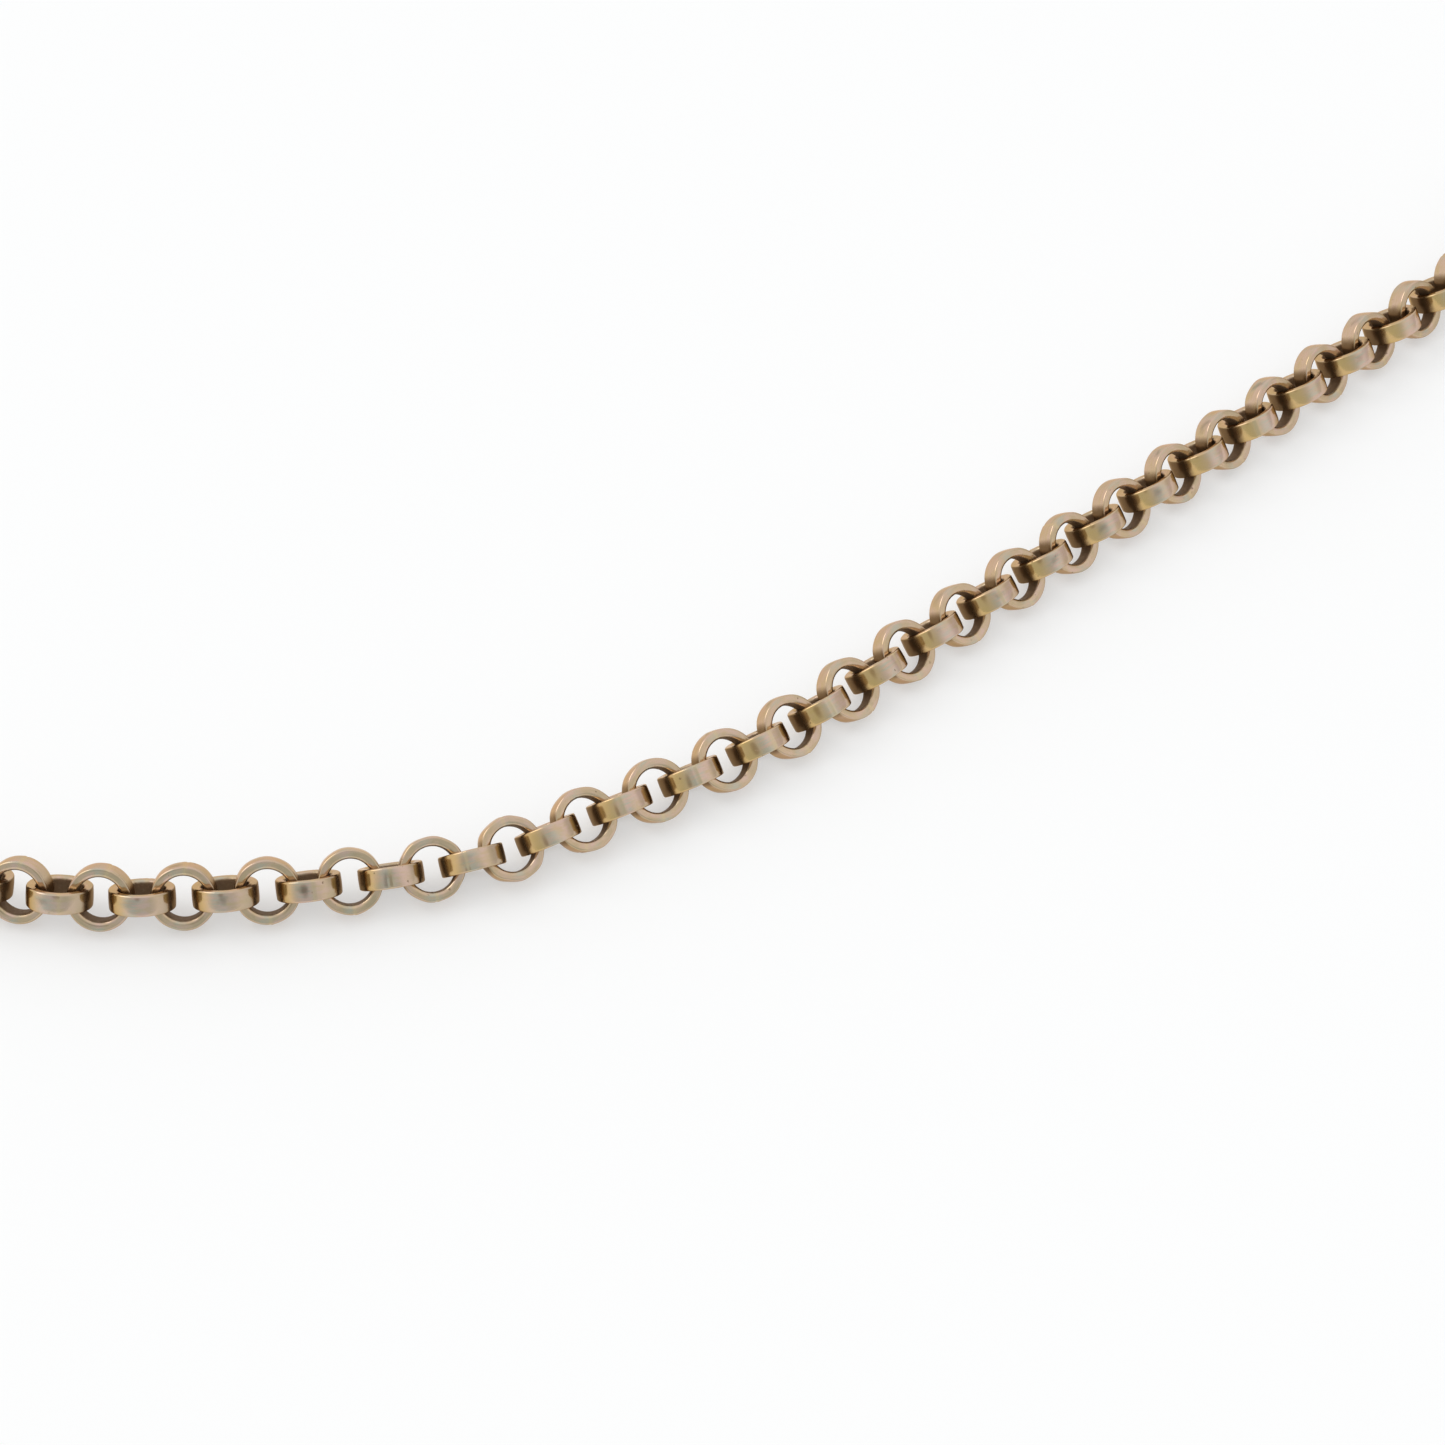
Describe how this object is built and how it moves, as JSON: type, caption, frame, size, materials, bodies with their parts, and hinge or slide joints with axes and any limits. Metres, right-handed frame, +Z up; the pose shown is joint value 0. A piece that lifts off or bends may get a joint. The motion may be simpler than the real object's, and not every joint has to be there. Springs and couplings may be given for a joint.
{
  "type": "pocket watch chain",
  "caption": "Belcher pocket watch chain of rolled flat-band ring links lying in a long bend, with a sprung swivel clip for the watch at one end and a T-bar at the other.",
  "frame": {"origin": "on the table under the middle of the laid-out chain", "axes": "+X along the table from the clip end to the T-bar end, +Y across the table away from the viewer, +Z up"},
  "size_m": [0.2401, 0.0497, 0.0071],
  "materials": {
    "link_gold": "polished",
    "fitting_gold": "polished",
    "spring_steel": "satin"
  },
  "bodies": {
    "left_link_25": {"left_link_25": "link_gold"},
    "left_link_24": {"left_link_24": "link_gold"},
    "left_link_23": {"left_link_23": "link_gold"},
    "left_link_22": {"left_link_22": "link_gold"},
    "left_link_21": {"left_link_21": "link_gold"},
    "left_link_20": {"left_link_20": "link_gold"},
    "left_link_19": {"left_link_19": "link_gold"},
    "left_link_18": {"left_link_18": "link_gold"},
    "left_link_17": {"left_link_17": "link_gold"},
    "left_link_16": {"left_link_16": "link_gold"},
    "left_link_15": {"left_link_15": "link_gold"},
    "left_link_14": {"left_link_14": "link_gold"},
    "left_link_13": {"left_link_13": "link_gold"},
    "left_link_12": {"left_link_12": "link_gold"},
    "left_link_11": {"left_link_11": "link_gold"},
    "left_link_10": {"left_link_10": "link_gold"},
    "left_link_09": {"left_link_09": "link_gold"},
    "left_link_08": {"left_link_08": "link_gold"},
    "left_link_07": {"left_link_07": "link_gold"},
    "left_link_06": {"left_link_06": "link_gold"},
    "left_link_05": {"left_link_05": "link_gold"},
    "left_link_04": {"left_link_04": "link_gold"},
    "left_link_03": {"left_link_03": "link_gold"},
    "left_link_02": {"left_link_02": "link_gold"},
    "left_link_01": {"left_link_01": "link_gold"},
    "middle_link": {"middle_link": "link_gold"},
    "right_link_01": {"right_link_01": "link_gold"},
    "right_link_02": {"right_link_02": "link_gold"},
    "right_link_03": {"right_link_03": "link_gold"},
    "right_link_04": {"right_link_04": "link_gold"},
    "right_link_05": {"right_link_05": "link_gold"},
    "right_link_06": {"right_link_06": "link_gold"},
    "right_link_07": {"right_link_07": "link_gold"},
    "right_link_08": {"right_link_08": "link_gold"},
    "right_link_09": {"right_link_09": "link_gold"},
    "right_link_10": {"right_link_10": "link_gold"},
    "right_link_11": {"right_link_11": "link_gold"},
    "right_link_12": {"right_link_12": "link_gold"},
    "right_link_13": {"right_link_13": "link_gold"},
    "right_link_14": {"right_link_14": "link_gold"},
    "right_link_15": {"right_link_15": "link_gold"},
    "right_link_16": {"right_link_16": "link_gold"},
    "right_link_17": {"right_link_17": "link_gold"},
    "right_link_18": {"right_link_18": "link_gold"},
    "right_link_19": {"right_link_19": "link_gold"},
    "right_link_20": {"right_link_20": "link_gold"},
    "right_link_21": {"right_link_21": "link_gold"},
    "right_link_22": {"right_link_22": "link_gold"},
    "right_link_23": {"right_link_23": "link_gold"},
    "right_link_24": {"right_link_24": "link_gold"},
    "clip_jump_ring": {"clip_jump_ring": "fitting_gold"},
    "swivel_eye": {"swivel_eye": "fitting_gold"},
    "clip_hook": {"clip_hook": "fitting_gold", "gate_pin": "fitting_gold", "gate_spring": "spring_steel"},
    "clip_gate": {"clip_gate": "fitting_gold"},
    "bar_jump_ring": {"bar_jump_ring": "fitting_gold"},
    "t_bar_eye": {"t_bar_eye": "fitting_gold"},
    "t_bar": {"t_bar": "fitting_gold", "t_bar_sleeve": "fitting_gold"}
  },
  "joints": [
    {"name": "bend_left_01", "type": "hinge", "parent": "middle_link", "child": "left_link_01", "pos_m": [0.00372, -0.01577, 0.00322], "axis": [-0.1666, 0.6851, -0.7092], "range_deg": [-35, 35]},
    {"name": "bend_left_02", "type": "hinge", "parent": "left_link_01", "child": "left_link_02", "pos_m": [-0.00055, -0.01684, 0.00324], "axis": [-0.1781, 0.6969, 0.6947], "range_deg": [-70.3, 69.7]},
    {"name": "bend_left_03", "type": "hinge", "parent": "left_link_02", "child": "left_link_03", "pos_m": [-0.00481, -0.01795, 0.00325], "axis": [0.179, -0.668, 0.7224], "range_deg": [-69.3, 70.7]},
    {"name": "bend_left_04", "type": "hinge", "parent": "left_link_03", "child": "left_link_04", "pos_m": [-0.00908, -0.01899, 0.00326], "axis": [0.1549, -0.7086, -0.6884], "range_deg": [-71.8, 68.2]},
    {"name": "bend_left_05", "type": "hinge", "parent": "left_link_04", "child": "left_link_05", "pos_m": [-0.0134, -0.01983, 0.00326], "axis": [-0.1151, 0.6755, -0.7284], "range_deg": [-71.9, 68.1]},
    {"name": "bend_left_06", "type": "hinge", "parent": "left_link_05", "child": "left_link_06", "pos_m": [-0.01775, -0.02047, 0.00327], "axis": [-0.0891, 0.7259, 0.682], "range_deg": [-68.3, 71.7]},
    {"name": "bend_left_07", "type": "hinge", "parent": "left_link_06", "child": "left_link_07", "pos_m": [-0.02213, -0.02091, 0.00328], "axis": [0.0552, -0.6765, 0.7343], "range_deg": [-68.3, 71.7]},
    {"name": "bend_left_08", "type": "hinge", "parent": "left_link_07", "child": "left_link_08", "pos_m": [-0.02652, -0.02118, 0.00328], "axis": [0.03, -0.7367, -0.6756], "range_deg": [-71.6, 68.4]},
    {"name": "bend_left_09", "type": "hinge", "parent": "left_link_08", "child": "left_link_09", "pos_m": [-0.03092, -0.02127, 0.00329], "axis": [0, 0.6724, -0.7402], "range_deg": [-70.6, 69.4]},
    {"name": "bend_left_10", "type": "hinge", "parent": "left_link_09", "child": "left_link_10", "pos_m": [-0.03532, -0.0213, 0.0033], "axis": [-0.0086, 0.7431, 0.6691], "range_deg": [-70.4, 69.6]},
    {"name": "bend_left_11", "type": "hinge", "parent": "left_link_10", "child": "left_link_11", "pos_m": [-0.03971, -0.02138, 0.0033], "axis": [0.0155, -0.6657, 0.7461], "range_deg": [-70.5, 69.5]},
    {"name": "bend_left_12", "type": "hinge", "parent": "left_link_11", "child": "left_link_12", "pos_m": [-0.04411, -0.0215, 0.00331], "axis": [0.0261, -0.7485, -0.6626], "range_deg": [-71.8, 68.2]},
    {"name": "bend_left_13", "type": "hinge", "parent": "left_link_12", "child": "left_link_13", "pos_m": [-0.04851, -0.02143, 0.00332], "axis": [0.046, 0.6577, -0.7518], "range_deg": [-74.5, 65.5]},
    {"name": "bend_left_14", "type": "hinge", "parent": "left_link_13", "child": "left_link_14", "pos_m": [-0.05287, -0.02089, 0.00332], "axis": [0.1311, 0.7432, 0.6561], "range_deg": [-65.3, 74.7]},
    {"name": "bend_left_15", "type": "hinge", "parent": "left_link_14", "child": "left_link_15", "pos_m": [-0.05716, -0.0199, 0.00325], "axis": [-0.1903, -0.6637, 0.7234], "range_deg": [-66.8, 73.2]},
    {"name": "bend_left_16", "type": "hinge", "parent": "left_link_15", "child": "left_link_16", "pos_m": [-0.06138, -0.01865, 0.00325], "axis": [-0.2019, -0.6603, -0.7234], "range_deg": [-70.1, 69.9]},
    {"name": "bend_left_17", "type": "hinge", "parent": "left_link_16", "child": "left_link_17", "pos_m": [-0.06557, -0.01733, 0.00332], "axis": [0.2332, 0.7178, -0.6561], "range_deg": [-70.6, 69.4]},
    {"name": "bend_left_18", "type": "hinge", "parent": "left_link_17", "child": "left_link_18", "pos_m": [-0.06975, -0.01593, 0.00339], "axis": [0.2019, 0.5864, 0.7844], "range_deg": [-68.8, 71.2]},
    {"name": "bend_left_19", "type": "hinge", "parent": "left_link_18", "child": "left_link_19", "pos_m": [-0.07388, -0.01443, 0.00344], "axis": [-0.2911, -0.7585, 0.5831], "range_deg": [-68.9, 71.1]},
    {"name": "bend_left_20", "type": "hinge", "parent": "left_link_19", "child": "left_link_20", "pos_m": [-0.07796, -0.01278, 0.00349], "axis": [-0.2128, -0.5013, -0.8387], "range_deg": [-71.9, 68.1]},
    {"name": "bend_left_21", "type": "hinge", "parent": "left_link_20", "child": "left_link_21", "pos_m": [-0.08198, -0.01099, 0.0035], "axis": [0.3571, 0.7658, -0.5348], "range_deg": [-71.1, 68.9]},
    {"name": "bend_left_22", "type": "hinge", "parent": "left_link_21", "child": "left_link_22", "pos_m": [-0.08593, -0.00906, 0.00351], "axis": [0.2383, 0.4678, 0.8511], "range_deg": [-67.3, 72.7]},
    {"name": "bend_left_23", "type": "hinge", "parent": "left_link_22", "child": "left_link_23", "pos_m": [-0.08977, -0.00692, 0.00352], "axis": [-0.4447, -0.7328, 0.515], "range_deg": [-67.8, 72.2]},
    {"name": "bend_left_24", "type": "hinge", "parent": "left_link_23", "child": "left_link_24", "pos_m": [-0.09345, -0.0045, 0.00353], "axis": [-0.2933, -0.4112, -0.8631], "range_deg": [-73.7, 66.3]},
    {"name": "bend_left_25", "type": "hinge", "parent": "left_link_24", "child": "left_link_25", "pos_m": [-0.09693, -0.00182, 0.00354], "axis": [0.5556, 0.6681, -0.495], "range_deg": [-72.1, 67.9]},
    {"name": "bend_right_01", "type": "hinge", "parent": "middle_link", "child": "right_link_01", "pos_m": [0.00372, -0.01577, 0.00322], "axis": [0.1666, -0.6851, 0.7092], "range_deg": [-35, 35]},
    {"name": "bend_right_02", "type": "hinge", "parent": "right_link_01", "child": "right_link_02", "pos_m": [0.008, -0.01476, 0.00323], "axis": [-0.1572, 0.6809, 0.7153], "range_deg": [-69.7, 70.3]},
    {"name": "bend_right_03", "type": "hinge", "parent": "right_link_02", "child": "right_link_03", "pos_m": [0.01228, -0.01377, 0.00326], "axis": [-0.1644, 0.7065, -0.6884], "range_deg": [-69.9, 70.1]},
    {"name": "bend_right_04", "type": "hinge", "parent": "right_link_03", "child": "right_link_04", "pos_m": [0.01656, -0.01277, 0.00328], "axis": [0.1548, -0.6598, -0.7353], "range_deg": [-69.9, 70.1]},
    {"name": "bend_right_05", "type": "hinge", "parent": "right_link_04", "child": "right_link_05", "pos_m": [0.02085, -0.01176, 0.0033], "axis": [0.1714, -0.7251, 0.667], "range_deg": [-70.1, 69.9]},
    {"name": "bend_right_06", "type": "hinge", "parent": "right_link_05", "child": "right_link_06", "pos_m": [0.02513, -0.01074, 0.00332], "axis": [-0.152, 0.6382, 0.7547], "range_deg": [-70.1, 69.9]},
    {"name": "bend_right_07", "type": "hinge", "parent": "right_link_06", "child": "right_link_07", "pos_m": [0.02941, -0.00972, 0.00334], "axis": [-0.1784, 0.7431, -0.645], "range_deg": [-69.9, 70.1]},
    {"name": "bend_right_08", "type": "hinge", "parent": "right_link_07", "child": "right_link_08", "pos_m": [0.03368, -0.00869, 0.00336], "axis": [0.149, -0.6161, -0.7735], "range_deg": [-69.9, 70.1]},
    {"name": "bend_right_09", "type": "hinge", "parent": "right_link_08", "child": "right_link_09", "pos_m": [0.03796, -0.00765, 0.00338], "axis": [0.1854, -0.7603, 0.6225], "range_deg": [-70.1, 69.9]},
    {"name": "bend_right_10", "type": "hinge", "parent": "right_link_09", "child": "right_link_10", "pos_m": [0.04223, -0.0066, 0.0034], "axis": [-0.1458, 0.5934, 0.7916], "range_deg": [-70.1, 69.9]},
    {"name": "bend_right_11", "type": "hinge", "parent": "right_link_10", "child": "right_link_11", "pos_m": [0.0465, -0.00555, 0.00342], "axis": [-0.1923, 0.7769, -0.5995], "range_deg": [-69.9, 70.1]},
    {"name": "bend_right_12", "type": "hinge", "parent": "right_link_11", "child": "right_link_12", "pos_m": [0.05077, -0.00449, 0.00344], "axis": [0.1422, -0.5703, -0.809], "range_deg": [-69.9, 70.1]},
    {"name": "bend_right_13", "type": "hinge", "parent": "right_link_12", "child": "right_link_13", "pos_m": [0.05504, -0.00342, 0.00345], "axis": [0.1979, -0.7893, 0.5813], "range_deg": [-70, 70]},
    {"name": "bend_right_14", "type": "hinge", "parent": "right_link_13", "child": "right_link_14", "pos_m": [0.0593, -0.00235, 0.00345], "axis": [-0.1405, 0.5572, 0.8184], "range_deg": [-70.1, 69.9]},
    {"name": "bend_right_15", "type": "hinge", "parent": "right_link_14", "child": "right_link_15", "pos_m": [0.06357, -0.00127, 0.00346], "axis": [-0.2023, 0.7977, -0.5681], "range_deg": [-70, 70]},
    {"name": "bend_right_16", "type": "hinge", "parent": "right_link_15", "child": "right_link_16", "pos_m": [0.06783, -0.00019, 0.00347], "axis": [0.1387, -0.544, -0.8275], "range_deg": [-69.9, 70.1]},
    {"name": "bend_right_17", "type": "hinge", "parent": "right_link_16", "child": "right_link_17", "pos_m": [0.07209, 0.0009, 0.00348], "axis": [0.2067, -0.8059, 0.5547], "range_deg": [-70, 70]},
    {"name": "bend_right_18", "type": "hinge", "parent": "right_link_17", "child": "right_link_18", "pos_m": [0.07635, 0.002, 0.00349], "axis": [-0.1369, 0.5306, 0.8365], "range_deg": [-70.1, 69.9]},
    {"name": "bend_right_19", "type": "hinge", "parent": "right_link_18", "child": "right_link_19", "pos_m": [0.08061, 0.0031, 0.0035], "axis": [-0.2111, 0.8139, -0.5413], "range_deg": [-70, 70]},
    {"name": "bend_right_20", "type": "hinge", "parent": "right_link_19", "child": "right_link_20", "pos_m": [0.08487, 0.00421, 0.0035], "axis": [0.1349, -0.5172, -0.8452], "range_deg": [-69.9, 70.1]},
    {"name": "bend_right_21", "type": "hinge", "parent": "right_link_20", "child": "right_link_21", "pos_m": [0.08912, 0.00532, 0.00351], "axis": [0.2154, -0.8217, 0.5276], "range_deg": [-70, 70]},
    {"name": "bend_right_22", "type": "hinge", "parent": "right_link_21", "child": "right_link_22", "pos_m": [0.09338, 0.00644, 0.00352], "axis": [-0.1328, 0.5036, 0.8537], "range_deg": [-70.1, 69.9]},
    {"name": "bend_right_23", "type": "hinge", "parent": "right_link_22", "child": "right_link_23", "pos_m": [0.09763, 0.00756, 0.00353], "axis": [-0.2198, 0.8292, -0.5139], "range_deg": [-70, 70]},
    {"name": "bend_right_24", "type": "hinge", "parent": "right_link_23", "child": "right_link_24", "pos_m": [0.10188, 0.00869, 0.00353], "axis": [0.1306, -0.4899, -0.862], "range_deg": [-69.9, 70.1]},
    {"name": "clip_ring_swing", "type": "hinge", "parent": "left_link_25", "child": "clip_jump_ring", "pos_m": [-0.10021, 0.00112, 0.00355], "axis": [0.3368, 0.3487, 0.8746], "range_deg": [-80, 80]},
    {"name": "eye_swing", "type": "hinge", "parent": "clip_jump_ring", "child": "swivel_eye", "pos_m": [-0.10285, 0.00367, 0.00322], "axis": [-0.639, -0.5988, 0.4828], "range_deg": [-55, 50]},
    {"name": "clip_swivel", "type": "hinge", "parent": "swivel_eye", "child": "clip_hook", "pos_m": [-0.10507, 0.00581, 0.00294], "axis": [-0.7164, 0.6918, -0.09], "continuous": true},
    {"name": "gate_open", "type": "hinge", "parent": "clip_hook", "child": "clip_gate", "pos_m": [-0.11344, 0.0106, 0.0021], "axis": [0.0647, -0.0625, -0.9959], "range_deg": [0, 32], "stiffness_Nm_per_rad": 0.002, "springref_deg": -17.19, "deforming": ["gate_spring"]},
    {"name": "t_ring_swing", "type": "hinge", "parent": "right_link_24", "child": "bar_jump_ring", "pos_m": [0.10613, 0.00983, 0.00354], "axis": [0.2241, -0.8365, 0.5], "range_deg": [-80, 80]},
    {"name": "t_eye_swing", "type": "hinge", "parent": "bar_jump_ring", "child": "t_bar_eye", "pos_m": [0.10965, 0.01077, 0.00298], "axis": [-0.0012, 0.5173, 0.8558], "range_deg": [-50, 50]},
    {"name": "t_bar_turn", "type": "hinge", "parent": "t_bar_eye", "child": "t_bar", "pos_m": [0.11575, 0.0124, 0.0015], "axis": [-0.2588, 0.9659, 0], "continuous": true}
  ]
}
